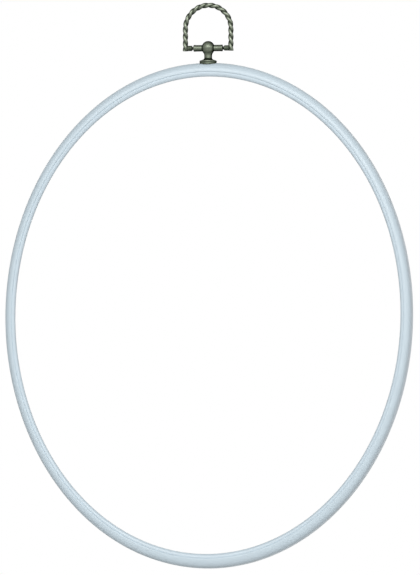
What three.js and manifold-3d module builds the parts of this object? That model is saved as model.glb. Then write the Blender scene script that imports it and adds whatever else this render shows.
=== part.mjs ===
// Oval embroidery hoop with a hanging bail on top and its working face towards -Y.
// A soft outer hoop grips a rigid inner hoop, and the cloth is held in the seam between them.
// Millimetres, +Z up. The origin is the top of the bail's inside, where a hook carries it.

import * as THREE from 'three';
import { mergeVertices } from 'three/addons/utils/BufferGeometryUtils.js';
import Module from 'manifold-3d';

const wasm = await Module();
wasm.setup();

// Both hoops. Sizes across the rim are those at the top and bottom of the oval,
// and at its sides the rim is narrower by the side share.
const hoopHeight = 262.5;
const hoopWidth = 213.6;
const hoopDepth = 9.5;
const sideShare = 0.76;
const clothGap = 0.3;

// Soft outer hoop: a flat back, an upright side and a crowned front.
const softFace = 4.6;
const softCrownFromSide = 3.9;
const softFrontRound = 3.4;
const softSeamRound = 0.7;
const softBackRound = 0.6;

// Rigid inner hoop: a wall that thins towards the back by its draft, a bead round its front edge
// on the side of the opening, and a lip round its back that stops the soft hoop.
const rigidWall = 1.3;
const wallDraft = 0.65;
const beadFace = 2.4;
const beadDepth = 2.4;
const rigidSetBack = 0.3;
const rigidCrownFromSeam = 0.8;
const rigidSeamRound = 0.6;
const beadFrontRound = 1.5;
const beadBackRound = 0.5;
const lipReach = 1.5;
const lipThickness = 1.0;

// Cast hanger: a ball on a short stem, with a tube arm on each side a little below its middle.
const pivotAboveHoop = 7.75;
const ballRadius = 3.3;
const ballRise = 0.38;
const armRadius = 1.75;
const armReach = 7.6;
const armBoreDepth = 2.3;
const stemRadius = 2.2;
const stemFlareWidth = 0.55;
const stemFlareHeight = 2.4;

// Collar between the stem and the soft hoop, let into the hoop by the seat's depth.
const collarRadius = 4.5;
const collarThickness = 2.65;
const collarSide = 1.75;
const collarSeatDepth = 0.6;

// Countersunk screw from inside the soft hoop into the stem, on a washer.
const screwRadius = 1.5;
const screwEngagement = 3.4;
const headRadius = 2.8;
const slotWidth = 0.8;
const slotDepth = 0.7;
const washerRadius = 3.5;
const washerThickness = 0.8;

// Hanging bail: two strands twisted into a D, with a solid foot and a pin at each end.
const bailWidth = 26.7;
const bailInsideHeight = 21.2;
const ropeRadius = 1.32;
const strandOffset = 0.38;
const ropeLay = 6.8;
const footRadius = 1.5;
const footGap = 1.1;
const footChamfer = 0.3;
const pinRadius = 0.65;

// Clearances, and how finely round shapes are cut.
const fitClearance = 0.25;
const pinEndClearance = 0.3;
const hoopSteps = 72;
const smallSteps = 24;
const cutReach = 5;

// Heights above the hoop's centre, and depths from front to back.
const outside = hoopHeight / 2;
const seam = outside - softFace;
const outsideAtSide = hoopWidth / 2;
const front = -hoopDepth / 2;
const back = hoopDepth / 2;
const lipEdge = seam + lipReach;
const lipFront = back - lipThickness;
const collarSeat = outside - collarSeatDepth;
const collarTop = collarSeat + collarThickness;
const pivotHeight = outside + pivotAboveHoop;
const hookHeight = pivotHeight + bailInsideHeight;
const screwHeadFace = seam;
const screwTip = collarTop + screwEngagement;
const headDepth = headRadius - screwRadius;
const screwHole = screwRadius + fitClearance;

const softColour = new THREE.MeshStandardMaterial({ color: 0xcddce6, roughness: 0.42, metalness: 0 });
const rigidColour = new THREE.MeshStandardMaterial({ color: 0xd3e2ec, roughness: 0.3, metalness: 0 });
const castColour = new THREE.MeshStandardMaterial({ color: 0x6d7569, roughness: 0.38, metalness: 1 });
const steelColour = new THREE.MeshStandardMaterial({ color: 0x9a9c9a, roughness: 0.3, metalness: 1 });

// A closed geometry as a solid that can be joined and cut.
function solid(geometry) {
  const bare = geometry.clone();
  bare.deleteAttribute('normal');
  bare.deleteAttribute('uv');
  const merged = mergeVertices(bare, 1e-4);
  const vertProperties = Float32Array.from(merged.attributes.position.array);
  const triVerts = Uint32Array.from(merged.index.array);
  return new wasm.Manifold(new wasm.Mesh({ numProp: 3, vertProperties, triVerts }));
}

// A solid as a geometry with flat facets.
function shape(body) {
  const mesh = body.getMesh();
  const geometry = new THREE.BufferGeometry();
  geometry.setAttribute('position', new THREE.BufferAttribute(mesh.vertProperties, 3));
  geometry.setIndex(new THREE.BufferAttribute(mesh.triVerts, 1));
  const facets = geometry.toNonIndexed();
  facets.computeVertexNormals();
  return facets;
}

// A profile turned about the hoop's depth axis, then narrowed to the oval.
function ovalRing(path, pointsPerArc) {
  const ring = new THREE.LatheGeometry(path.getPoints(pointsPerArc), hoopSteps);
  const spots = ring.attributes.position;
  for (let i = 0; i < spots.count; i += 1) {
    const radius = Math.hypot(spots.getX(i), spots.getZ(i));
    const radiusAtSide = outsideAtSide - (outside - radius) * sideShare;
    spots.setX(i, (spots.getX(i) * radiusAtSide) / radius);
  }
  return ring;
}

// A profile turned about an upright axis.
function turned(path, pointsPerArc) {
  const lathe = new THREE.LatheGeometry(path.getPoints(pointsPerArc), smallSteps);
  return lathe.rotateX(Math.PI / 2);
}

// An upright round bar between two heights.
function uprightBar(radius, low, high) {
  const bar = new THREE.CylinderGeometry(radius, radius, high - low, smallSteps);
  return bar.rotateX(Math.PI / 2).translate(0, 0, (low + high) / 2);
}

// A round bar across the hanger between two places on X.
function crossBar(radius, left, right) {
  const bar = new THREE.CylinderGeometry(radius, radius, right - left, smallSteps);
  return bar.rotateZ(Math.PI / 2).translate((left + right) / 2, 0, 0);
}

// Soft outer hoop. The rebate round its back takes the inner hoop's lip.
function softHoop() {
  const rebate = lipEdge + clothGap;
  const crown = outside - softCrownFromSide;
  const path = new THREE.Path();
  path.moveTo(rebate, back);
  path.lineTo(rebate, lipFront - clothGap);
  path.lineTo(seam, lipFront - clothGap);
  path.absellipse(crown, front + softSeamRound, crown - seam, softSeamRound,
    Math.PI, 1.5 * Math.PI, false, 0);
  path.absellipse(crown, front + softFrontRound, softCrownFromSide, softFrontRound,
    1.5 * Math.PI, 2 * Math.PI, false, 0);
  path.absellipse(outside - softBackRound, back - softBackRound, softBackRound, softBackRound,
    0, 0.5 * Math.PI, false, 0);
  path.closePath();
  const pocketFloor = seam + washerThickness;
  const collarCut = uprightBar(collarRadius + fitClearance, collarSeat, outside + cutReach);
  const washerCut = uprightBar(washerRadius + fitClearance, seam - cutReach, pocketFloor);
  const holeCut = uprightBar(headRadius - washerThickness + fitClearance, pocketFloor - cutReach, outside);
  return shape(
    solid(ovalRing(path, 3))
      .subtract(solid(collarCut))
      .subtract(solid(washerCut))
      .subtract(solid(holeCut)),
  );
}

// Rigid inner hoop. The soft hoop butts against its back lip.
function rigidHoop() {
  const wallOutside = seam - clothGap;
  const wallInside = wallOutside - rigidWall;
  const beadInside = wallOutside - beadFace;
  const edge = front + rigidSetBack;
  const beadBack = edge + beadDepth;
  const crown = wallOutside - rigidCrownFromSeam;
  const path = new THREE.Path();
  path.moveTo(wallInside + wallDraft, back);
  path.lineTo(wallInside, beadBack);
  path.absellipse(beadInside + beadBackRound, beadBack - beadBackRound, beadBackRound, beadBackRound,
    0.5 * Math.PI, Math.PI, false, 0);
  path.absellipse(crown, edge + beadFrontRound, crown - beadInside, beadFrontRound,
    Math.PI, 1.5 * Math.PI, false, 0);
  path.absellipse(crown, edge + rigidSeamRound, rigidCrownFromSeam, rigidSeamRound,
    1.5 * Math.PI, 2 * Math.PI, false, 0);
  path.lineTo(wallOutside, lipFront);
  path.lineTo(lipEdge, lipFront);
  path.lineTo(lipEdge, back);
  path.closePath();
  return shape(solid(ovalRing(path, 3)));
}

// Cast hanger, about the bail's pivot. Its stem stands on the collar.
function hangerPost() {
  const foot = collarTop - pivotHeight;
  const stem = new THREE.Path();
  stem.moveTo(0, foot);
  stem.lineTo(stemRadius, foot);
  const flareTop = ballRise - Math.sqrt(ballRadius ** 2 - (stemRadius + stemFlareWidth) ** 2);
  stem.lineTo(stemRadius, flareTop - stemFlareHeight);
  stem.quadraticCurveTo(stemRadius, flareTop - stemFlareHeight / 3, stemRadius + stemFlareWidth, flareTop);
  stem.lineTo(0, 0);
  const ball = new THREE.SphereGeometry(ballRadius, smallSteps, smallSteps / 2).translate(0, 0, ballRise);
  const boreFloor = armReach - armBoreDepth;
  const bore = pinRadius + fitClearance;
  let body = solid(ball).add(solid(crossBar(armRadius, -armReach, armReach)));
  body = body.add(solid(turned(stem, 4)));
  body = body.subtract(solid(crossBar(bore, boreFloor, armReach + cutReach)));
  body = body.subtract(solid(crossBar(bore, -armReach - cutReach, -boreFloor)));
  const screwBoreTop = screwTip + pinEndClearance - pivotHeight;
  return shape(body.subtract(solid(uprightBar(screwHole, foot - cutReach, screwBoreTop))));
}

// Collar, about the point where the screw's axis meets its seat.
function collar() {
  const topLand = stemRadius + fitClearance;
  const path = new THREE.Path();
  path.moveTo(screwHole, 0);
  path.lineTo(collarRadius, 0);
  path.lineTo(collarRadius, collarSide);
  path.absellipse(topLand, collarSide, collarRadius - topLand, collarThickness - collarSide,
    0, 0.5 * Math.PI, false, 0);
  path.lineTo(screwHole, collarThickness);
  path.closePath();
  return shape(solid(turned(path, 3)));
}

// Countersunk screw, about the centre of its head's face, with a straight slot.
function hangerScrew() {
  const length = screwTip - screwHeadFace;
  const path = new THREE.Path();
  path.moveTo(0, 0);
  path.lineTo(headRadius, 0);
  path.lineTo(screwRadius, headDepth);
  path.lineTo(screwRadius, length);
  path.lineTo(0, length);
  const slot = new THREE.BoxGeometry(2 * headRadius + cutReach, slotWidth, 2 * slotDepth);
  return shape(solid(turned(path, 1)).subtract(solid(slot)));
}

// Countersunk washer, about the centre of its lower face.
function screwWasher() {
  const mouth = headRadius + fitClearance;
  const path = new THREE.Path();
  path.moveTo(mouth, 0);
  path.lineTo(washerRadius, 0);
  path.lineTo(washerRadius, washerThickness);
  path.lineTo(mouth - washerThickness, washerThickness);
  path.closePath();
  return shape(solid(turned(path, 1)));
}

// The bail's centre line: up one leg, round the arch and down the other leg.
class BailLine extends THREE.Curve {
  constructor() {
    super();
    this.radius = bailWidth / 2 - ropeRadius;
    this.archHeight = bailInsideHeight - this.radius + ropeRadius;
    this.arch = Math.PI * this.radius;
    this.length = 2 * this.archHeight + this.arch;
  }

  getPoint(t, target = new THREE.Vector3()) {
    const along = t * this.length;
    if (along < this.archHeight) {
      return target.set(-this.radius, 0, along);
    }
    if (along > this.archHeight + this.arch) {
      return target.set(this.radius, 0, this.length - along);
    }
    const angle = Math.PI - (along - this.archHeight) / this.radius;
    return target.set(this.radius * Math.cos(angle), 0, this.archHeight + this.radius * Math.sin(angle));
  }
}

// Half the thickness of two fused strands at an angle from the line through their centres.
function twoStrands(angle) {
  const strand = ropeRadius - strandOffset;
  const across = strandOffset * Math.sin(angle);
  return strandOffset * Math.abs(Math.cos(angle)) + Math.sqrt(strand * strand - across * across);
}

// The twisted rope: a bar whose rings are turned by the lay and set along the centre line.
function twistedRope() {
  const line = new BailLine();
  const ropeSides = 12;
  const stepsPerLay = 12;
  const ropeSteps = Math.round((line.length / ropeLay) * stepsPerLay);
  const bar = new THREE.CylinderGeometry(1, 1, 1, ropeSides, ropeSteps);
  const point = new THREE.Vector3();
  const spots = bar.attributes.position;
  for (let i = 0; i < spots.count; i += 1) {
    point.fromBufferAttribute(spots, i);
    const t = point.y + 0.5;
    const centre = line.getPoint(t);
    const along = line.getTangent(t);
    const outwards = new THREE.Vector3(-along.z, 0, along.x);
    const angle = Math.atan2(point.x, point.z);
    const twist = (2 * Math.PI * t * line.length) / ropeLay;
    const reach = Math.hypot(point.x, point.z) > 0.5 ? twoStrands(angle + twist) : 0;
    centre.y += reach * Math.cos(angle);
    centre.addScaledVector(outwards, reach * Math.sin(angle));
    spots.setXYZ(i, centre.x, centre.y, centre.z);
  }
  return bar;
}

// One foot of the bail, with the cone and the pin that turn in the hanger's arm.
function bailFoot(side) {
  const outerEnd = bailWidth / 2;
  const face = armReach + footGap;
  const tip = armReach - armBoreDepth + pinEndClearance;
  const path = new THREE.Path();
  path.moveTo(0, tip);
  path.lineTo(pinRadius, tip);
  path.lineTo(pinRadius, armReach);
  path.lineTo(footRadius - footChamfer, face);
  path.lineTo(footRadius, face + footChamfer);
  path.lineTo(footRadius, outerEnd);
  path.lineTo(0, outerEnd);
  const foot = new THREE.LatheGeometry(path.getPoints(1), smallSteps);
  return foot.rotateZ((-side * Math.PI) / 2);
}

// Hanging bail, about its pivot.
function hangingBail() {
  let body = solid(twistedRope());
  for (const side of [-1, 1]) {
    body = body.add(solid(bailFoot(side)));
  }
  return shape(body);
}

function piece(name, geometry, material, height) {
  const mesh = new THREE.Mesh(geometry, material);
  mesh.name = name;
  mesh.position.z = height;
  return mesh;
}

const hoop = new THREE.Group();
hoop.position.z = -hookHeight;
hoop.add(piece('outer_hoop', softHoop(), softColour, 0));
hoop.add(piece('inner_hoop', rigidHoop(), rigidColour, 0));
hoop.add(piece('collar', collar(), castColour, collarSeat));
hoop.add(piece('hanger_post', hangerPost(), castColour, pivotHeight));
hoop.add(piece('hanging_bail', hangingBail(), castColour, pivotHeight));
hoop.add(piece('hanger_screw', hangerScrew(), steelColour, screwHeadFace));
hoop.add(piece('screw_washer', screwWasher(), steelColour, screwHeadFace));

export default hoop;
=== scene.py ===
import math

import bmesh
import bpy
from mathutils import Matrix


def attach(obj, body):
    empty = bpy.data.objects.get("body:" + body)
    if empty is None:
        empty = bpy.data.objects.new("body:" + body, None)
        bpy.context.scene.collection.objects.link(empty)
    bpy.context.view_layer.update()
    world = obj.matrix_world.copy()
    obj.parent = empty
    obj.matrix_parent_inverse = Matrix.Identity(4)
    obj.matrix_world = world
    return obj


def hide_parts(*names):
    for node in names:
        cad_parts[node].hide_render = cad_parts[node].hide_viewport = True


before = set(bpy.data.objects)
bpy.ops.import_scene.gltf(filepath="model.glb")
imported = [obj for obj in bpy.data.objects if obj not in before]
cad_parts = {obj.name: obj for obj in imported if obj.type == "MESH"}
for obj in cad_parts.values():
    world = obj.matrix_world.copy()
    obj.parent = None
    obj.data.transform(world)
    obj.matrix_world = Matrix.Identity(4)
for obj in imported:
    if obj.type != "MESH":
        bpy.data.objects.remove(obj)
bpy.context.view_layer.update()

bpy.ops.object.select_all(action="DESELECT")


# Rigid inner hoop. An oval ring moulded in hard pale-blue plastic: a wall that thins to the back,
# a bead round its front, and a lip round its back that stops the soft hoop it is pressed into.
mm = 0.001
hoop_middle = -160.2 * mm
hoop_half_height = 131.25 * mm
hoop_half_width = 106.8 * mm
side_share = 0.76
round_the_hoop = 256

wall_inside = 125.05 * mm
wall_outside = 126.35 * mm
wall_front = -4.45 * mm
wall_back = 4.75 * mm
wall_draft = 0.65 * mm
bead_inside = 123.95 * mm
bead_back = -2.05 * mm
lip_front = 3.75 * mm
lip_outside = 128.15 * mm
bead_front_round = 1.5 * mm
bead_front_stretch = 1.6 / 1.5
bead_back_round = 0.5 * mm
seam_round = 0.14 * mm
seam_stretch = 3
lip_round = 0.18 * mm

ejector_marks = 12
ejector_mark_radius = 0.9 * mm
ejector_mark_depth = 0.12 * mm
ejector_ring = (wall_inside + lip_outside) / 2

same_place = 0.01 * mm
merge_gap = 0.002 * mm
split_gap = 0.0001 * mm
just_over = 1.01

hard_blue = (0.612, 0.716, 0.782, 1)
hard_blue_drift = (0.592, 0.698, 0.768, 1)


def take(piece):
    bpy.ops.object.select_all(action="DESELECT")
    bpy.context.view_layer.objects.active = piece
    piece.select_set(True)


def begin(name):
    piece = bpy.context.object
    piece.name = name
    piece.data.name = name
    bpy.ops.object.mode_set(mode="EDIT")
    bpy.ops.mesh.select_mode(type="VERT")
    return piece


def near(a, b):
    return abs(a - b) < same_place


def pick(piece, wanted):
    bpy.ops.mesh.select_all(action="DESELECT")
    cage = bmesh.from_edit_mesh(piece.data)
    for corner in cage.verts:
        if wanted(corner.co):
            corner.select_set(True)
    cage.select_flush(True)
    bmesh.update_edit_mesh(piece.data)


def draw_rim_section(name, inside, outside, front, back):
    bpy.ops.mesh.primitive_plane_add(
        size=1,
        location=((inside + outside) / 2, (front + back) / 2, hoop_middle),
    )
    bpy.context.object.scale = (outside - inside, back - front, 1)
    bpy.ops.object.transform_apply(location=True, rotation=True, scale=True)
    return begin(name)


def split_section(place, direction):
    bpy.ops.mesh.select_all(action="SELECT")
    bpy.ops.mesh.bisect(plane_co=place, plane_no=direction, threshold=split_gap)


def heal_section():
    bpy.ops.mesh.select_all(action="SELECT")
    bpy.ops.mesh.dissolve_limited(angle_limit=math.radians(1))


def round_corner(piece, across, depth, radius, steps, stretch=1.0):
    pick(piece, lambda spot: near(spot.x, across) and near(spot.y, depth))
    bpy.ops.mesh.bevel(offset=radius, offset_type="OFFSET", segments=steps, affect="VERTICES")
    reach = radius * just_over
    pick(piece, lambda spot: abs(spot.x - across) < reach and abs(spot.y - depth) < reach)
    bpy.ops.transform.resize(value=(stretch, 1, 1), center_override=(across, 0, 0))


def half_width_at(half_height):
    return hoop_half_width - (hoop_half_height - half_height) * side_share


# The section is swept in a circle first, and then drawn in at the sides, where the rim is thinner.
def narrow_to_oval(piece):
    cage = bmesh.from_edit_mesh(piece.data)
    for corner in cage.verts:
        radius = math.hypot(corner.co.x, corner.co.z - hoop_middle)
        corner.co.x *= half_width_at(radius) / radius
    bmesh.update_edit_mesh(piece.data)


def sweep_the_oval(piece):
    bpy.ops.mesh.select_all(action="SELECT")
    bpy.ops.mesh.delete(type="ONLY_FACE")
    bpy.ops.mesh.select_all(action="SELECT")
    bpy.ops.mesh.spin(
        steps=round_the_hoop,
        angle=math.tau,
        center=(0, 0, hoop_middle),
        axis=(0, 1, 0),
    )
    bpy.ops.mesh.select_all(action="SELECT")
    bpy.ops.mesh.remove_doubles(threshold=merge_gap)
    narrow_to_oval(piece)
    bpy.ops.mesh.normals_make_consistent(inside=False)
    bpy.ops.object.mode_set(mode="OBJECT")


def combine(piece, other, operation):
    take(piece)
    change = piece.modifiers.new("change", "BOOLEAN")
    change.operation = operation
    change.solver = "EXACT"
    change.object = other
    bpy.ops.object.modifier_apply(modifier="change")
    bpy.data.objects.remove(other)


def cut_away(piece, cutter):
    combine(piece, cutter, "DIFFERENCE")


def smooth_over(piece, angle):
    take(piece)
    bpy.ops.object.shade_smooth_by_angle(angle=math.radians(angle))
    bpy.ops.object.select_all(action="DESELECT")


rigid_hoop = draw_rim_section("rigid_hoop", wall_inside, wall_outside, wall_front, wall_back)
split_section((0, lip_front, 0), (0, 1, 0))
split_section((0, bead_back, 0), (0, 1, 0))
pick(rigid_hoop, lambda spot: near(spot.x, wall_outside) and spot.y > lip_front - same_place)
bpy.ops.mesh.extrude_region_move(
    TRANSFORM_OT_translate={"value": (lip_outside - wall_outside, 0, 0)}
)
pick(rigid_hoop, lambda spot: near(spot.x, wall_inside) and spot.y < bead_back + same_place)
bpy.ops.mesh.extrude_region_move(
    TRANSFORM_OT_translate={"value": (bead_inside - wall_inside, 0, 0)}
)
heal_section()
pick(rigid_hoop, lambda spot: near(spot.x, wall_inside) and near(spot.y, wall_back))
bpy.ops.transform.translate(value=(wall_draft, 0, 0))
round_corner(
    rigid_hoop, bead_inside, wall_front, bead_front_round, steps=10, stretch=bead_front_stretch
)
round_corner(rigid_hoop, bead_inside, bead_back, bead_back_round, steps=5)
round_corner(rigid_hoop, wall_outside, wall_front, seam_round, steps=7, stretch=seam_stretch)
for across, depth in [
    (wall_inside + wall_draft, wall_back),
    (lip_outside, lip_front),
    (lip_outside, wall_back),
]:
    round_corner(rigid_hoop, across, depth, lip_round, steps=3)
sweep_the_oval(rigid_hoop)

ejector_pins = []
for step in range(ejector_marks):
    turn = math.tau * (step + 0.5) / ejector_marks
    bpy.ops.mesh.primitive_cylinder_add(
        vertices=24,
        radius=ejector_mark_radius,
        depth=2 * ejector_mark_depth,
        location=(
            half_width_at(ejector_ring) * math.cos(turn),
            wall_back,
            hoop_middle + ejector_ring * math.sin(turn),
        ),
        rotation=(math.pi / 2, 0, 0),
    )
    ejector_pins.append(bpy.context.object)
take(ejector_pins[-1])
for pin in ejector_pins:
    pin.select_set(True)
bpy.ops.object.join()
bpy.ops.object.transform_apply(location=True, rotation=True, scale=True)
cut_away(rigid_hoop, bpy.context.object)
smooth_over(rigid_hoop, 35)


def wire(tree, *steps):
    for outgoing, incoming in steps:
        tree.links.new(outgoing, incoming)


# A Mix node has several sockets of each name, one for each kind, so they go by number.
number_a = 2
number_b = 3
mixed_number = 0
colour_a = 6
colour_b = 7
mixed_colour = 2

# Shared by both plastics: slow drift of the colour over the moulding, and a fine skin.
drift_scale = 28
skin_mix = 0.7
skin_depth = 0.012 * mm

moulded_skin = bpy.data.node_groups.new("moulded_skin", "ShaderNodeTree")
for label in ["Drift Scale", "Skin Scale", "Skin Mix"]:
    moulded_skin.interface.new_socket(label, in_out="INPUT", socket_type="NodeSocketFloat")
for label in ["Drift", "Fine", "Height"]:
    moulded_skin.interface.new_socket(label, in_out="OUTPUT", socket_type="NodeSocketFloat")
skin_in = moulded_skin.nodes.new("NodeGroupInput")
skin_out = moulded_skin.nodes.new("NodeGroupOutput")
skin_place = moulded_skin.nodes.new("ShaderNodeTexCoord")
skin_drift = moulded_skin.nodes.new("ShaderNodeTexNoise")
skin_drift.inputs["Detail"].default_value = 3
skin_fine = moulded_skin.nodes.new("ShaderNodeTexNoise")
skin_fine.inputs["Detail"].default_value = 4
skin_height = moulded_skin.nodes.new("ShaderNodeMix")
wire(
    moulded_skin,
    (skin_place.outputs["Object"], skin_drift.inputs["Vector"]),
    (skin_in.outputs["Drift Scale"], skin_drift.inputs["Scale"]),
    (skin_place.outputs["Object"], skin_fine.inputs["Vector"]),
    (skin_in.outputs["Skin Scale"], skin_fine.inputs["Scale"]),
    (skin_in.outputs["Skin Mix"], skin_height.inputs["Factor"]),
    (skin_drift.outputs["Fac"], skin_height.inputs[number_a]),
    (skin_fine.outputs["Fac"], skin_height.inputs[number_b]),
    (skin_drift.outputs["Fac"], skin_out.inputs["Drift"]),
    (skin_fine.outputs["Fac"], skin_out.inputs["Fine"]),
    (skin_height.outputs[mixed_number], skin_out.inputs["Height"]),
)


def moulded_plastic(name, colour, drift_colour, smoothest, roughest, skin_scale, bump):
    finish = bpy.data.materials.new(name)
    finish.use_nodes = True
    tree = finish.node_tree
    shader = tree.nodes["Principled BSDF"]
    skin = tree.nodes.new("ShaderNodeGroup")
    skin.node_tree = moulded_skin
    skin.inputs["Drift Scale"].default_value = drift_scale
    skin.inputs["Skin Scale"].default_value = skin_scale
    skin.inputs["Skin Mix"].default_value = skin_mix
    tint = tree.nodes.new("ShaderNodeMix")
    tint.data_type = "RGBA"
    tint.inputs[colour_a].default_value = colour
    tint.inputs[colour_b].default_value = drift_colour
    sheen = tree.nodes.new("ShaderNodeMapRange")
    sheen.inputs["To Min"].default_value = smoothest
    sheen.inputs["To Max"].default_value = roughest
    relief = tree.nodes.new("ShaderNodeBump")
    relief.inputs["Strength"].default_value = bump
    relief.inputs["Distance"].default_value = skin_depth
    wire(
        tree,
        (skin.outputs["Drift"], tint.inputs["Factor"]),
        (tint.outputs[mixed_colour], shader.inputs["Base Color"]),
        (skin.outputs["Fine"], sheen.inputs["Value"]),
        (sheen.outputs["Result"], shader.inputs["Roughness"]),
        (skin.outputs["Height"], relief.inputs["Height"]),
        (relief.outputs["Normal"], shader.inputs["Normal"]),
    )
    return finish


rigid_plastic = moulded_plastic(
    "rigid_plastic",
    hard_blue,
    hard_blue_drift,
    smoothest=0.30,
    roughest=0.40,
    skin_scale=900,
    bump=0.18,
)
rigid_hoop.data.materials.append(rigid_plastic)
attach(rigid_hoop, "inner")
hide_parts("inner_hoop")


# Soft outer hoop. A flexible pale-blue vinyl ring with a crowned front and a flat back, stretched
# over the rigid hoop. Its back is rebated for the lip, and its top is bored for the hanger.
soft_seam = 126.37 * mm
soft_outside = 131.25 * mm
soft_front = -4.75 * mm
soft_back = 4.75 * mm
rebate_outside = 128.45 * mm
rebate_front = 3.45 * mm
crown_round = 3.9 * mm
crown_stretch = 4.2 / 3.9
soft_seam_round = 0.16 * mm
soft_back_round = 0.6 * mm
rebate_round = 0.2 * mm

collar_seat = hoop_middle + 130.65 * mm
collar_seat_radius = 4.75 * mm
screw_face = hoop_middle + 126.65 * mm
washer_thickness = 0.8 * mm
washer_seat = screw_face + washer_thickness
washer_seat_radius = 3.75 * mm
screw_way_radius = 2.25 * mm
cutter_reach = 4 * mm

soft_blue = (0.612, 0.716, 0.780, 1)
soft_blue_drift = (0.592, 0.700, 0.768, 1)

soft_hoop = draw_rim_section("soft_hoop", soft_seam, soft_outside, soft_front, soft_back)
split_section((0, rebate_front, 0), (0, 1, 0))
split_section((rebate_outside, 0, 0), (1, 0, 0))
pick(soft_hoop, lambda spot: near(spot.x, soft_seam) and near(spot.y, soft_back))
bpy.ops.mesh.delete(type="VERT")
heal_section()
round_corner(soft_hoop, soft_outside, soft_front, crown_round, steps=18, stretch=crown_stretch)
round_corner(soft_hoop, soft_seam, soft_front, soft_seam_round, steps=7, stretch=seam_stretch)
round_corner(soft_hoop, soft_outside, soft_back, soft_back_round, steps=5)
round_corner(soft_hoop, rebate_outside, soft_back, rebate_round, steps=3)
round_corner(soft_hoop, soft_seam, rebate_front, rebate_round, steps=3)
sweep_the_oval(soft_hoop)


def upright_cutter(radius, low, high):
    bpy.ops.mesh.primitive_cylinder_add(
        vertices=96, radius=radius, depth=high - low, location=(0, 0, (low + high) / 2)
    )
    return bpy.context.object


cut_away(
    soft_hoop,
    upright_cutter(collar_seat_radius, collar_seat, collar_seat + cutter_reach),
)
cut_away(
    soft_hoop,
    upright_cutter(washer_seat_radius, washer_seat - cutter_reach, washer_seat),
)
cut_away(
    soft_hoop,
    upright_cutter(screw_way_radius, washer_seat - cutter_reach, collar_seat + cutter_reach),
)
smooth_over(soft_hoop, 35)

soft_vinyl = moulded_plastic(
    "soft_vinyl",
    soft_blue,
    soft_blue_drift,
    smoothest=0.34,
    roughest=0.44,
    skin_scale=1400,
    bump=0.22,
)
soft_hoop.data.materials.append(soft_vinyl)
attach(soft_hoop, "hoop")
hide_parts("outer_hoop")


# Hanger screw and its washer. A countersunk slotted steel screw goes up through the soft hoop
# from inside, on a countersunk washer, and draws the collar and the cast hanger down on it.
screw_head_radius = 2.8 * mm
screw_radius = 1.5 * mm
screw_root = 1.26 * mm
screw_tip = 9.75 * mm
thread_start = 2.1 * mm
thread_pitch = 0.5 * mm
thread_half_width = 0.1 * mm
thread_swell = 2.2
thread_inset = 0.22 * mm
thread_lead_in = 0.3 * mm
thread_run_out = 0.7 * mm
neck_taper = 0.2 * mm
slot_width = 0.8 * mm
slot_depth = 0.7 * mm
screw_edge = 0.08 * mm
washer_radius = 3.5 * mm
washer_mouth = 3.05 * mm
washer_throat = 2.25 * mm
washer_edge = 0.1 * mm
steel_grey = (0.52, 0.53, 0.52, 1)
steel_dull = (0.30, 0.31, 0.30, 1)


def draw_rings(name, rings, sides, solid):
    radius, height = rings[0]
    bpy.ops.mesh.primitive_circle_add(
        vertices=sides,
        radius=radius,
        fill_type="NGON" if solid else "NOTHING",
        location=(0, 0, height),
    )
    bpy.ops.object.transform_apply(location=True, rotation=True, scale=True)
    part = begin(name)
    bpy.ops.mesh.select_all(action="SELECT")
    for next_radius, next_height in rings[1:]:
        bpy.ops.mesh.extrude_region_move(
            TRANSFORM_OT_translate={"value": (0, 0, next_height - height)}
        )
        widen = next_radius / radius
        bpy.ops.transform.resize(value=(widen, widen, 1), center_override=(0, 0, next_height))
        radius, height = next_radius, next_height
    bpy.ops.mesh.select_all(action="SELECT")
    bpy.ops.mesh.remove_doubles(threshold=merge_gap)
    bpy.ops.mesh.normals_make_consistent(inside=False)
    bpy.ops.object.mode_set(mode="OBJECT")
    return part


def place_part(part, place, tilt=(0, 0, 0)):
    take(part)
    part.location = place
    part.rotation_euler = tilt
    bpy.ops.object.transform_apply(location=True, rotation=True, scale=True)


def soften_edges(part, width, steps, angle):
    take(part)
    soften = part.modifiers.new("soften", "BEVEL")
    soften.width = width
    soften.segments = steps
    soften.limit_method = "ANGLE"
    soften.angle_limit = math.radians(angle)
    bpy.ops.object.modifier_apply(modifier="soften")


head_depth = screw_head_radius - screw_radius
screw = draw_rings(
    "screw",
    [
        (screw_head_radius, 0),
        (screw_radius, head_depth),
        (screw_radius, thread_start),
        (screw_root, thread_start + neck_taper),
        (screw_root, screw_tip),
    ],
    sides=64,
    solid=True,
)
bpy.ops.mesh.primitive_cube_add(size=1, location=(0, 0, 0))
slot_saw = bpy.context.object
slot_saw.scale = (3 * screw_head_radius, slot_width, 2 * slot_depth)
bpy.ops.object.transform_apply(location=True, rotation=True, scale=True)
cut_away(screw, slot_saw)
soften_edges(screw, screw_edge, steps=2, angle=40)

bpy.ops.mesh.primitive_circle_add(vertices=4, radius=thread_half_width, location=(0, 0, 0))
thread = begin("thread")
bpy.ops.mesh.select_all(action="SELECT")
bpy.ops.transform.rotate(value=math.pi / 2, orient_axis="X", center_override=(0, 0, 0))
bpy.ops.transform.resize(value=(thread_swell, 1, thread_swell), center_override=(0, 0, 0))
bpy.ops.transform.translate(value=(screw_radius - thread_inset, 0, thread_start + thread_lead_in))
bpy.ops.object.mode_set(mode="OBJECT")
helix = thread.modifiers.new("helix", "SCREW")
helix.axis = "Z"
helix.angle = math.tau
helix.screw_offset = thread_pitch
helix.iterations = int((screw_tip - thread_start - thread_run_out) / thread_pitch)
helix.steps = 32
helix.render_steps = 32
helix.use_merge_vertices = True
bpy.ops.object.modifier_apply(modifier="helix")
bpy.ops.object.mode_set(mode="EDIT")
bpy.ops.mesh.select_all(action="SELECT")
bpy.ops.mesh.remove_doubles(threshold=merge_gap)
bpy.ops.mesh.select_all(action="DESELECT")
bpy.ops.mesh.select_non_manifold()
bpy.ops.mesh.edge_face_add()
bpy.ops.mesh.select_all(action="SELECT")
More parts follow.
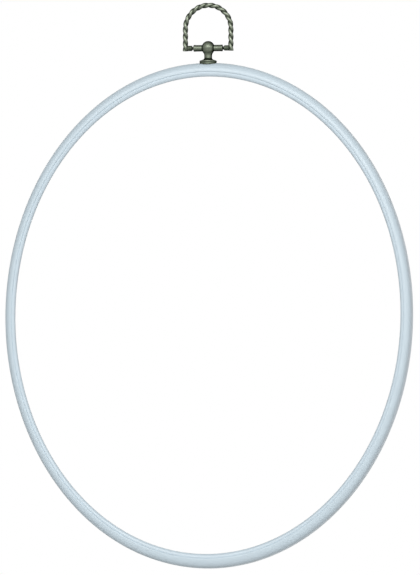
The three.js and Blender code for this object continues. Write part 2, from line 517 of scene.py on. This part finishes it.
bpy.ops.mesh.normals_make_consistent(inside=False)
bpy.ops.object.mode_set(mode="OBJECT")

take(screw)
thread.select_set(True)
bpy.ops.object.join()
place_part(screw, (0, 0, screw_face))
smooth_over(screw, 35)

washer = draw_rings(
    "washer",
    [
        (washer_mouth, 0),
        (washer_radius, 0),
        (washer_radius, washer_thickness),
        (washer_throat, washer_thickness),
        (washer_mouth, 0),
    ],
    sides=96,
    solid=False,
)
soften_edges(washer, washer_edge, steps=3, angle=30)
place_part(washer, (0, 0, screw_face))
smooth_over(washer, 35)

# Shared by the steel and the cast metal: patches of tarnish and a fine grain.
worn_metal = bpy.data.node_groups.new("worn_metal", "ShaderNodeTree")
for label in ["Patch Scale", "Grain Scale"]:
    worn_metal.interface.new_socket(label, in_out="INPUT", socket_type="NodeSocketFloat")
for label in ["Patches", "Grain"]:
    worn_metal.interface.new_socket(label, in_out="OUTPUT", socket_type="NodeSocketFloat")
worn_in = worn_metal.nodes.new("NodeGroupInput")
worn_out = worn_metal.nodes.new("NodeGroupOutput")
worn_place = worn_metal.nodes.new("ShaderNodeTexCoord")
worn_patches = worn_metal.nodes.new("ShaderNodeTexNoise")
worn_patches.inputs["Detail"].default_value = 5
worn_grain = worn_metal.nodes.new("ShaderNodeTexNoise")
worn_grain.inputs["Detail"].default_value = 2
wire(
    worn_metal,
    (worn_place.outputs["Object"], worn_patches.inputs["Vector"]),
    (worn_place.outputs["Object"], worn_grain.inputs["Vector"]),
    (worn_in.outputs["Patch Scale"], worn_patches.inputs["Scale"]),
    (worn_in.outputs["Grain Scale"], worn_grain.inputs["Scale"]),
    (worn_patches.outputs["Fac"], worn_out.inputs["Patches"]),
    (worn_grain.outputs["Fac"], worn_out.inputs["Grain"]),
)

plated_steel = bpy.data.materials.new("plated_steel")
plated_steel.use_nodes = True
steel_tree = plated_steel.node_tree
steel_shader = steel_tree.nodes["Principled BSDF"]
steel_shader.inputs["Metallic"].default_value = 1
steel_wear = steel_tree.nodes.new("ShaderNodeGroup")
steel_wear.node_tree = worn_metal
steel_wear.inputs["Patch Scale"].default_value = 600
steel_wear.inputs["Grain Scale"].default_value = 4000
steel_tint = steel_tree.nodes.new("ShaderNodeMix")
steel_tint.data_type = "RGBA"
steel_tint.inputs[colour_a].default_value = steel_grey
steel_tint.inputs[colour_b].default_value = steel_dull
steel_gloss = steel_tree.nodes.new("ShaderNodeMapRange")
steel_gloss.inputs["To Min"].default_value = 0.22
steel_gloss.inputs["To Max"].default_value = 0.42
steel_relief = steel_tree.nodes.new("ShaderNodeBump")
steel_relief.inputs["Strength"].default_value = 0.3
steel_relief.inputs["Distance"].default_value = 0.02 * mm
wire(
    steel_tree,
    (steel_wear.outputs["Patches"], steel_tint.inputs["Factor"]),
    (steel_tint.outputs[mixed_colour], steel_shader.inputs["Base Color"]),
    (steel_wear.outputs["Grain"], steel_gloss.inputs["Value"]),
    (steel_gloss.outputs["Result"], steel_shader.inputs["Roughness"]),
    (steel_wear.outputs["Grain"], steel_relief.inputs["Height"]),
    (steel_relief.outputs["Normal"], steel_shader.inputs["Normal"]),
)
for part, node in [(screw, "hanger_screw"), (washer, "screw_washer")]:
    part.data.materials.append(plated_steel)
    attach(part, "hoop")
    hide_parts(node)


# Collar. A small cast disc with a rounded bead round its rim and a domed top, let into the top
# of the soft hoop, where the screw's pull holds it.
collar_top = 2.65 * mm
collar_bore = 1.75 * mm

# Its outline, as radius and height over the seat: foot, bead, dome, and the step at the stem.
collar_outline = [
    (collar_bore, 0),
    (4.46 * mm, 0),
    (4.46 * mm, 0.76 * mm),
    (4.38 * mm, 0.86 * mm),
    (4.38 * mm, 0.96 * mm),
    (4.47 * mm, 1.06 * mm),
    (4.50 * mm, 1.24 * mm),
    (4.49 * mm, 1.44 * mm),
    (4.42 * mm, 1.64 * mm),
    (4.30 * mm, 1.78 * mm),
    (4.12 * mm, 1.88 * mm),
    (3.90 * mm, 1.92 * mm),
    (3.72 * mm, 1.92 * mm),
    (3.60 * mm, 1.98 * mm),
    (3.34 * mm, 2.14 * mm),
    (3.04 * mm, 2.28 * mm),
    (2.74 * mm, 2.38 * mm),
    (2.50 * mm, 2.44 * mm),
    (2.42 * mm, collar_top - 0.06 * mm),
    (2.36 * mm, collar_top),
    (collar_bore, collar_top),
    (collar_bore, 0),
]

# Where it is painted darker, as patina and painted shade in the hollows, given as radius, height
# and reach: under the bead, inside it, and at the stem.
collar_hollows = [
    (4.38 * mm, 0.91 * mm, 0.3 * mm),
    (3.75 * mm, 1.92 * mm, 0.3 * mm),
    (2.4 * mm, 2.5 * mm, 0.5 * mm),
]
# Levels of the collar's painted light and shade: patina and painted shade in the hollows, a
# painted highlight on the bead and less on the dome, the share left at the sides as painted shade;
# and where a surface of any casting counts as facing the front or back.
collar_hollow_share = 0.1
bead_edge = 3.8 * mm
bead_shine = 0.66
dome_shine = 0.46
collar_side_share = 0.75
front_from = 0.3
front_over = 0.5

collar = draw_rings("hanger_collar", collar_outline, sides=96, solid=False)


# Stores on each point of a casting a value that the alloy turns into colour: low for patina and
# painted shade, high for a painted highlight.
def paint_light_and_patina(casting, light_and_patina_at):
    patina_and_light = casting.data.attributes.new("patina_and_light", "FLOAT", "POINT")
    for corner, painted_value in zip(casting.data.vertices, patina_and_light.data):
        painted_value.value = light_and_patina_at(corner.co)


def fade(distance, reach):
    share = min(max(distance / reach, 0), 1)
    return share * share * (3 - 2 * share)


# How far a surface faces the front or the back rather than the side; the castings' values use it
# to paint a highlight on those faces and shade at the sides.
def front_share(depth, radius):
    return fade(abs(depth) / radius - front_from, front_over)


# Darker near a hollow, down to the darkest share at it: patina and painted shade together.
def darkened_near(distance, reach, darkest):
    return darkest + (1 - darkest) * fade(distance, reach)


# Painted light on the collar: the bead painted lighter than the dome as a highlight, a painted
# highlight on the faces toward front and back, painted shade at the sides, patina and painted
# shade in the hollows.
def collar_painted_light(spot):
    radius = math.hypot(spot.x, spot.y)
    shine = bead_shine if radius > bead_edge else dome_shine
    for hollow_radius, hollow_height, reach in collar_hollows:
        away = math.hypot(radius - hollow_radius, spot.z - hollow_height)
        shine *= darkened_near(away, reach, collar_hollow_share)
    at_front = front_share(spot.y, radius)
    return shine * (collar_side_share + (1 - collar_side_share) * at_front)


paint_light_and_patina(collar, collar_painted_light)
place_part(collar, (0, 0, collar_seat))


# Cast hanger. A ball on a short waisted stem, with a bored tube arm on each side that the bail's
# pins turn in: one antiqued casting, held on the collar by the screw in its foot.
pivot = -21.2 * mm
ball_radius = 3.35 * mm
ball_middle = pivot + 0.37 * mm
arm_radius = 1.75 * mm
arm_reach = 7.6 * mm
arm_edge = 0.12 * mm
arm_waist = 0.07 * mm
arm_waist_from = 1.1 * mm
arm_collar_to = 0.9 * mm
arm_bore_radius = 0.9 * mm
arm_bore_floor = 5.3 * mm
stem_radius = 2.02 * mm
stem_foot = collar_seat + collar_top
screw_bore_radius = 1.75 * mm
screw_bore_top = pivot - 2.15 * mm
casting_grain = 0.11 * mm

# Levels of the hanger's painted light and shade: patina and painted shade at the arm roots and the
# stem's foot, painted shade in the bores, and painted highlights on the arms, stem and ball where
# they face front or back.
arm_root = 3.1 * mm
arm_root_reach = 0.4 * mm
ball_bottom = -2.2 * mm
foot_hollow_height = -5.45 * mm
foot_hollow_radius = 2.2 * mm
foot_hollow_reach = 0.5 * mm
hollow_share = 0.15
bore_rim = 0.1 * mm
bore_shine = 0.05
arm_shine = 0.64
stem_side_shine = 0.12
stem_front_gain = 0.5
ball_side_shine = 0.1
ball_front_gain = 0.55

bpy.ops.mesh.primitive_uv_sphere_add(
    segments=64, ring_count=32, radius=ball_radius, location=(0, 0, ball_middle)
)
bpy.ops.object.transform_apply(location=True, rotation=True, scale=True)
ball = bpy.context.object

arms = draw_rings(
    "arms",
    [
        (arm_radius - arm_edge, -arm_reach),
        (arm_radius, -arm_reach + arm_edge),
        (arm_radius, -arm_reach + arm_collar_to),
        (arm_radius - arm_waist, -arm_reach + arm_waist_from),
        (arm_radius - arm_waist, arm_reach - arm_waist_from),
        (arm_radius, arm_reach - arm_collar_to),
        (arm_radius, arm_reach - arm_edge),
        (arm_radius - arm_edge, arm_reach),
    ],
    sides=64,
    solid=True,
)
place_part(arms, (0, 0, pivot), (0, math.pi / 2, 0))

stem_height = pivot - stem_foot

# The stem's outline, as what it gains over its radius, and the height over its foot or the drop
# below the pivot: a small spread at the foot, and a flare that meets the ball without a crease.
stem_spread = [(0.18 * mm, 0), (0.18 * mm, 0.22 * mm), (0, 0.45 * mm)]
stem_flare = [
    (0, 3.9 * mm),
    (0.08 * mm, 3.3 * mm),
    (0.28 * mm, 2.75 * mm),
    (0.66 * mm, 2.2 * mm),
    (0.9 * mm, 1.8 * mm),
    (1.05 * mm, 1.3 * mm),
    (1.14 * mm, 0.8 * mm),
    (1.14 * mm, 0.4 * mm),
]
stem = draw_rings(
    "stem",
    [(stem_radius + gain, height) for gain, height in stem_spread]
    + [(stem_radius + gain, stem_height - drop) for gain, drop in stem_flare],
    sides=64,
    solid=True,
)
place_part(stem, (0, 0, stem_foot))

take(ball)
for lump in (arms, stem):
    lump.select_set(True)
bpy.ops.object.join()
hanger = bpy.context.object
hanger.name = "hanger_casting"
hanger.data.name = "hanger_casting"
fuse = hanger.modifiers.new("fuse", "REMESH")
fuse.mode = "VOXEL"
fuse.voxel_size = casting_grain
bpy.ops.object.modifier_apply(modifier="fuse")
settle = hanger.modifiers.new("settle", "SMOOTH")
settle.factor = 0.5
settle.iterations = 5
bpy.ops.object.modifier_apply(modifier="settle")


def bore(radius, start, end):
    bpy.ops.mesh.primitive_cylinder_add(
        vertices=48,
        radius=radius,
        depth=abs(end - start),
        location=((start + end) / 2, 0, pivot),
        rotation=(0, math.pi / 2, 0),
    )
    bpy.ops.object.transform_apply(location=True, rotation=True, scale=True)
    return bpy.context.object


for side in (-1, 1):
    cut_away(
        hanger,
        bore(arm_bore_radius, side * arm_bore_floor, side * (arm_reach + cutter_reach)),
    )
cut_away(
    hanger,
    upright_cutter(screw_bore_radius, stem_foot - cutter_reach, screw_bore_top),
)


# Painted light on the hanger: painted shade in the bores, a painted highlight on the arms, stem
# and ball where they face front or back and painted shade at their sides, and patina and painted
# shade at the arms' roots and round the stem's foot.
def hanger_painted_light(spot):
    along = abs(spot.x)
    height = spot.z - pivot
    off_arm_axis = math.hypot(spot.y, height)
    off_stem_axis = math.hypot(spot.x, spot.y)
    if off_arm_axis < arm_bore_radius + bore_rim and along > arm_bore_floor - bore_rim:
        return bore_shine
    if along > arm_root:
        shine = arm_shine * front_share(spot.y, arm_radius)
    elif height < ball_bottom:
        shine = stem_side_shine + stem_front_gain * front_share(spot.y, stem_radius)
    else:
        shine = ball_side_shine + ball_front_gain * front_share(spot.y, ball_radius)
    from_arm_root = abs(along - arm_root) + abs(off_arm_axis - arm_radius)
    from_foot_hollow = math.hypot(height - foot_hollow_height, off_stem_axis - foot_hollow_radius)
    shine *= darkened_near(from_arm_root, arm_root_reach, hollow_share)
    shine *= darkened_near(from_foot_hollow, foot_hollow_reach, hollow_share)
    return shine


paint_light_and_patina(hanger, hanger_painted_light)


# Hanging bail. Two strands twisted together and bent into a D, cast in the same alloy, with a
# plain foot turned in at each end. The pins on the feet are sprung into the hanger's arms.
bail_half_width = 13.35 * mm
rope_radius = 1.38 * mm
strand_offset = 0.34 * mm
strand_radius = rope_radius - strand_offset
rope_lay = 7.1 * mm
rope_phase = math.radians(-34)
arch_radius = bail_half_width - rope_radius
leg_height = 10.4 * mm
leg_foot = 1.42 * mm
rope_length = 2 * (leg_height + leg_foot) + math.pi * arch_radius
rope_steps = 360
foot_radius = 1.42 * mm
foot_face = 8.5 * mm
foot_length = bail_half_width - foot_face
pin_radius = 0.65 * mm
pin_end = 5.6 * mm
pin_length = bail_half_width - pin_end
arm_face = bail_half_width - arm_reach

# Levels of the bail's painted light and shade: patina and painted shade in the rope's grooves, a
# painted highlight on its crowns where they face front or back, painted shade at the sides, the
# same on the feet, and painted shade on the pins inside the arms.
groove_shine = 0.26
ridge_gain = 0.52
rope_side_gain = 0.5
foot_side_shine = 0.25
foot_front_gain = 0.7
foot_edge = 0.05 * mm
pin_shine = 0.08

bpy.ops.mesh.primitive_circle_add(
    vertices=40, radius=strand_radius, fill_type="NGON", location=(strand_offset, 0, 0)
)
bpy.ops.object.transform_apply(location=True, rotation=True, scale=True)
rope = begin("bail")
bpy.ops.mesh.select_all(action="SELECT")
bpy.ops.mesh.bisect(
    plane_co=(0, 0, 0), plane_no=(1, 0, 0), clear_inner=True, threshold=split_gap
)
bpy.ops.mesh.select_all(action="SELECT")
bpy.ops.mesh.duplicate_move()
bpy.ops.transform.rotate(value=math.pi, orient_axis="Z", center_override=(0, 0, 0))
bpy.ops.mesh.select_all(action="SELECT")
bpy.ops.mesh.remove_doubles(threshold=merge_gap)
bpy.ops.mesh.dissolve_faces()
bpy.ops.mesh.delete(type="ONLY_FACE")
bpy.ops.mesh.select_all(action="SELECT")
bpy.ops.transform.rotate(value=rope_phase, orient_axis="Z", center_override=(0, 0, 0))
bpy.ops.object.mode_set(mode="OBJECT")
twist = rope.modifiers.new("twist", "SCREW")
twist.axis = "Z"
twist.angle = -math.tau * rope_length / rope_lay
twist.screw_offset = rope_length
twist.iterations = 1
twist.steps = rope_steps
twist.render_steps = rope_steps
twist.use_merge_vertices = False
bpy.ops.object.modifier_apply(modifier="twist")

bpy.ops.object.mode_set(mode="EDIT")
bpy.ops.mesh.select_all(action="DESELECT")
bpy.ops.mesh.select_non_manifold()
bpy.ops.mesh.edge_face_add()
bpy.ops.mesh.select_all(action="SELECT")
bpy.ops.mesh.normals_make_consistent(inside=False)
bpy.ops.object.mode_set(mode="OBJECT")


# Painted light on the rope: lighter on the strands' crowns than in the grooves, as patina and
# painted shade in the grooves; a painted highlight where it faces front or back, painted shade at
# the sides.
def rope_painted_light(spot):
    groove = math.sqrt(strand_radius**2 - strand_offset**2)
    share = (math.hypot(spot.x, spot.y) - groove) / (rope_radius - groove)
    share = min(max(share, 0), 1)
    facing = front_share(spot.y, rope_radius)
    shine_at_front = groove_shine + ridge_gain * math.sqrt(share)
    return facing * shine_at_front + (1 - facing) * rope_side_gain * share


paint_light_and_patina(rope, rope_painted_light)

bpy.ops.curve.primitive_bezier_curve_add(location=(0, 0, 0))
bail_line = bpy.context.object
bail_line.data.dimensions = "3D"
bail_line.data.resolution_u = 64
bail_line.data.twist_mode = "MINIMUM"
stretch = bail_line.data.splines[0]
stretch.bezier_points.add(3)

# The bail's line, from the left foot over the top: each knot's place, the way on, and the reach
# of its handles before and after it.
shoulder = pivot + leg_height
leg_handle = (leg_height + leg_foot) / 3
arch_handle = arch_radius * 4 / 3 * (math.sqrt(2) - 1)
bail_knots = [
    ((-arch_radius, pivot - leg_foot), (0, 1), leg_handle, leg_handle),
    ((-arch_radius, shoulder), (0, 1), leg_handle, arch_handle),
    ((0, shoulder + arch_radius), (1, 0), arch_handle, arch_handle),
    ((arch_radius, shoulder), (0, -1), arch_handle, leg_handle),
    ((arch_radius, pivot - leg_foot), (0, -1), leg_handle, leg_handle),
]
for knot, (place, way, before, after) in zip(stretch.bezier_points, bail_knots):
    knot.handle_left_type = "FREE"
    knot.handle_right_type = "FREE"
    knot.co = (place[0], 0, place[1])
    knot.handle_left = (place[0] - way[0] * before, 0, place[1] - way[1] * before)
    knot.handle_right = (place[0] + way[0] * after, 0, place[1] + way[1] * after)

take(rope)
bend = rope.modifiers.new("bend", "CURVE")
bend.object = bail_line
bend.deform_axis = "POS_Z"
bpy.ops.object.modifier_apply(modifier="bend")
bpy.data.objects.remove(bail_line)


# Painted light on a foot: a painted highlight where it faces front or back, painted shade at the
# sides, and painted shade on the pin inside the arm.
def foot_painted_light(spot):
    if spot.z > foot_length - foot_edge:
        return pin_shine
    return foot_side_shine + foot_front_gain * front_share(spot.y, foot_radius)


# A foot's outline, as radius and distance in from the bail's side: it starts inside the rope.
foot_outline = [
    (0.4 * mm, 0.5 * mm),
    (foot_radius - 0.5 * mm, 0.55 * mm),
    (foot_radius - 0.5 * mm, 1.9 * mm),
    (foot_radius - 0.04 * mm, 2.6 * mm),
    (foot_radius - 0.02 * mm, 2.75 * mm),
    (foot_radius - 0.02 * mm, 2.95 * mm),
    (foot_radius - 0.02 * mm, foot_length - 0.45 * mm),
    (foot_radius - 0.02 * mm, foot_length - 0.3 * mm),
    (foot_radius, foot_length - 0.2 * mm),
    (foot_radius - 0.06 * mm, foot_length - 0.08 * mm),
    (foot_radius - 0.26 * mm, foot_length + 0.04 * mm),
    (pin_radius + 0.06 * mm, arm_face - 0.3 * mm),
    (pin_radius, arm_face - 0.1 * mm),
    (pin_radius, pin_length - 0.15 * mm),
    (pin_radius - 0.15 * mm, pin_length),
]


def bail_foot(side):
    foot = draw_rings("foot", foot_outline, sides=48, solid=True)
    paint_light_and_patina(foot, foot_painted_light)
    place_part(foot, (side * bail_half_width, 0, pivot), (0, -side * math.pi / 2, 0))
    return foot


for side in (-1, 1):
    combine(rope, bail_foot(side), "UNION")


# Antiqued alloy, on the three castings: the colour runs from dark oxidised metal to paler metal by
# the value painted on each point, which is low in the hollows as patina and painted shade, low at
# the sides as painted shade, higher on the rope's crowns than in its grooves, and high on the
# faces toward the front and back as a painted highlight.
oxide_and_shade = (0.010, 0.012, 0.009, 1)
half_lit_metal = (0.078, 0.094, 0.068, 1)
highlit_metal = (0.246, 0.272, 0.216, 1)
oxide_and_shade_to = 0.08
half_lit_at = 0.5
highlit_from = 0.95
uneven_by = 0.14

antiqued_alloy = bpy.data.materials.new("antiqued_alloy")
antiqued_alloy.use_nodes = True
alloy_tree = antiqued_alloy.node_tree
alloy_shader = alloy_tree.nodes["Principled BSDF"]
alloy_shader.inputs["Metallic"].default_value = 1
alloy_shader.inputs["Specular Tint"].default_value = (0.15, 0.15, 0.14, 1)
alloy_wear = alloy_tree.nodes.new("ShaderNodeGroup")
alloy_wear.node_tree = worn_metal
alloy_wear.inputs["Patch Scale"].default_value = 420
alloy_wear.inputs["Grain Scale"].default_value = 2600
patina_and_light_map = alloy_tree.nodes.new("ShaderNodeAttribute")
patina_and_light_map.attribute_name = "patina_and_light"
uneven_patina = alloy_tree.nodes.new("ShaderNodeMapRange")
uneven_patina.inputs["To Min"].default_value = -uneven_by
uneven_patina.inputs["To Max"].default_value = uneven_by
patina_and_light_sum = alloy_tree.nodes.new("ShaderNodeMath")
patina_and_light_sum.operation = "ADD"
# The ramp from oxidised metal and painted shade, through half-lit metal, to paler metal with a
# painted highlight.
alloy_tint = alloy_tree.nodes.new("ShaderNodeValToRGB")
alloy_tint.color_ramp.elements[0].position = oxide_and_shade_to
alloy_tint.color_ramp.elements[0].color = oxide_and_shade
alloy_tint.color_ramp.elements[1].position = highlit_from
alloy_tint.color_ramp.elements[1].color = highlit_metal
middle = alloy_tint.color_ramp.elements.new(half_lit_at)
middle.color = half_lit_metal
alloy_gloss = alloy_tree.nodes.new("ShaderNodeMapRange")
alloy_gloss.inputs["From Min"].default_value = 0.2
alloy_gloss.inputs["From Max"].default_value = 0.9
alloy_gloss.inputs["To Min"].default_value = 0.62
alloy_gloss.inputs["To Max"].default_value = 0.34
alloy_relief = alloy_tree.nodes.new("ShaderNodeBump")
alloy_relief.inputs["Strength"].default_value = 0.4
alloy_relief.inputs["Distance"].default_value = 0.03 * mm
wire(
    alloy_tree,
    (alloy_wear.outputs["Patches"], uneven_patina.inputs["Value"]),
    (patina_and_light_map.outputs["Fac"], patina_and_light_sum.inputs[0]),
    (uneven_patina.outputs["Result"], patina_and_light_sum.inputs[1]),
    (patina_and_light_sum.outputs["Value"], alloy_tint.inputs["Fac"]),
    (alloy_tint.outputs["Color"], alloy_shader.inputs["Base Color"]),
    (patina_and_light_sum.outputs["Value"], alloy_gloss.inputs["Value"]),
    (alloy_gloss.outputs["Result"], alloy_shader.inputs["Roughness"]),
    (alloy_wear.outputs["Grain"], alloy_relief.inputs["Height"]),
    (alloy_relief.outputs["Normal"], alloy_shader.inputs["Normal"]),
)
for casting, node, body in [
    (collar, "collar", "hoop"),
    (hanger, "hanger_post", "hoop"),
    (rope, "hanging_bail", "bail"),
]:
    smooth_over(casting, 40)
    casting.data.materials.append(antiqued_alloy)
    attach(casting, body)
    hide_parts(node)


# Studio. A round pale floor well under the hanging hoop, a white surround, a wide key lamp over
# the camera, a fill lamp to the right, a lamp for the back, and a long lens from the right.
floor_height = -0.45
floor_radius = 3.0
floor_white = (0.88, 0.88, 0.88, 1)
floor_glow_share = 0.6
floor_glow_reach = 1.6
floor_glow_middle = 0.7
surround_light = 0.10
view_lens = 600
view_azimuth = math.radians(9.6)
view_elevation = math.radians(-3.8)
view_distance = 4.97
aim_right = 0.95 * mm
aim_up = 14.4 * mm

bpy.ops.mesh.primitive_circle_add(
    vertices=128, radius=floor_radius, fill_type="NGON", location=(0, 0, floor_height)
)
bpy.ops.object.transform_apply(location=True, rotation=True, scale=True)
floor = bpy.context.object
floor.name = "studio_floor"


# The floor and the surround look white to the camera and in the gloss, and light nothing by it.
def seen_plainly(tree):
    path = tree.nodes.new("ShaderNodeLightPath")
    seen = tree.nodes.new("ShaderNodeMath")
    seen.operation = "MAXIMUM"
    seen_or_through = tree.nodes.new("ShaderNodeMath")
    seen_or_through.operation = "MAXIMUM"
    wire(
        tree,
        (path.outputs["Is Camera Ray"], seen.inputs[0]),
        (path.outputs["Is Glossy Ray"], seen.inputs[1]),
        (seen.outputs["Value"], seen_or_through.inputs[0]),
        (path.outputs["Is Transmission Ray"], seen_or_through.inputs[1]),
    )
    return seen_or_through.outputs["Value"]


floor_paint = bpy.data.materials.new("floor_paint")
floor_paint.use_nodes = True
floor_tree = floor_paint.node_tree
floor_shader = floor_tree.nodes["Principled BSDF"]
floor_shader.inputs["Base Color"].default_value = floor_white
floor_shader.inputs["Roughness"].default_value = 0.9
floor_end = floor_tree.nodes["Material Output"]
floor_place = floor_tree.nodes.new("ShaderNodeTexCoord")
floor_rings = floor_tree.nodes.new("ShaderNodeTexGradient")
floor_rings.gradient_type = "SPHERICAL"
floor_size = floor_tree.nodes.new("ShaderNodeMapping")
floor_size.inputs["Location"].default_value = (0, 0, -floor_height / floor_glow_reach)
floor_size.inputs["Scale"].default_value = [1 / floor_glow_reach] * 3
floor_fade = floor_tree.nodes.new("ShaderNodeMapRange")
floor_fade.inputs["From Max"].default_value = floor_glow_middle
floor_fade.inputs["To Min"].default_value = 1
floor_fade.inputs["To Max"].default_value = floor_glow_share
floor_faded = floor_tree.nodes.new("ShaderNodeMath")
floor_faded.operation = "MULTIPLY"
floor_glow = floor_tree.nodes.new("ShaderNodeEmission")
floor_mix = floor_tree.nodes.new("ShaderNodeMixShader")
floor_side = floor_tree.nodes.new("ShaderNodeNewGeometry")
floor_clear = floor_tree.nodes.new("ShaderNodeBsdfTransparent")
floor_under = floor_tree.nodes.new("ShaderNodeMixShader")
wire(
    floor_tree,
    (floor_place.outputs["Object"], floor_size.inputs["Vector"]),
    (floor_size.outputs["Vector"], floor_rings.inputs["Vector"]),
    (floor_rings.outputs["Fac"], floor_fade.inputs["Value"]),
    (seen_plainly(floor_tree), floor_faded.inputs[0]),
    (floor_fade.outputs["Result"], floor_faded.inputs[1]),
    (floor_faded.outputs["Value"], floor_mix.inputs["Fac"]),
    (floor_shader.outputs["BSDF"], floor_mix.inputs[1]),
    (floor_glow.outputs["Emission"], floor_mix.inputs[2]),
    (floor_side.outputs["Backfacing"], floor_under.inputs["Fac"]),
    (floor_mix.outputs["Shader"], floor_under.inputs[1]),
    (floor_clear.outputs["BSDF"], floor_under.inputs[2]),
    (floor_under.outputs["Shader"], floor_end.inputs["Surface"]),
)
floor.data.materials.append(floor_paint)

surround = bpy.data.worlds.new("white_surround")
bpy.context.scene.world = surround
surround.use_nodes = True
sky_tree = surround.node_tree
sky = sky_tree.nodes["Background"]
sky.inputs["Color"].default_value = (1, 1, 1, 1)
sky_level = sky_tree.nodes.new("ShaderNodeMapRange")
sky_level.inputs["To Min"].default_value = surround_light
sky_level.inputs["To Max"].default_value = 1
wire(
    sky_tree,
    (seen_plainly(sky_tree), sky_level.inputs["Value"]),
    (sky_level.outputs["Result"], sky.inputs["Strength"]),
)


def hang_lamp(name, place, width, height, watts, mirrored):
    bpy.ops.object.light_add(type="AREA", location=place)
    lamp = bpy.context.object
    lamp.name = name
    lamp.data.shape = "RECTANGLE"
    lamp.data.size = width
    lamp.data.size_y = height
    lamp.data.energy = watts
    lamp.visible_camera = False
    lamp.visible_glossy = mirrored
    towards = lamp.location.copy()
    towards.z -= hoop_middle
    lamp.rotation_euler = towards.to_track_quat("Z", "Y").to_euler()


# The back lamp stays out of the gloss, where it would glitter along the rims' edges.
hang_lamp("key_lamp", (0.4, -5.0, 1.9), width=5.5, height=1.4, watts=232, mirrored=True)
hang_lamp("fill_lamp", (3.6, -1.8, -0.1), width=1.6, height=1.6, watts=25, mirrored=True)
hang_lamp("back_lamp", (-0.8, 4.6, 0.5), width=2.2, height=2.2, watts=110, mirrored=False)

look = (
    math.sin(view_azimuth) * math.cos(view_elevation),
    -math.cos(view_azimuth) * math.cos(view_elevation),
    math.sin(view_elevation),
)
bpy.ops.object.camera_add(location=(0, 0, 0))
camera = bpy.context.object
camera.name = "camera"
camera.data.lens = view_lens
camera.data.sensor_width = 36
camera.data.clip_start = 0.05
camera.data.clip_end = 20
camera.location = (
    look[0] * view_distance + aim_right * math.cos(view_azimuth),
    look[1] * view_distance + aim_right * math.sin(view_azimuth),
    look[2] * view_distance + hoop_middle + aim_up,
)
camera.rotation_euler = (math.pi / 2 - view_elevation, 0, view_azimuth)
bpy.context.scene.camera = camera
bpy.context.scene.view_settings.view_transform = "Standard"
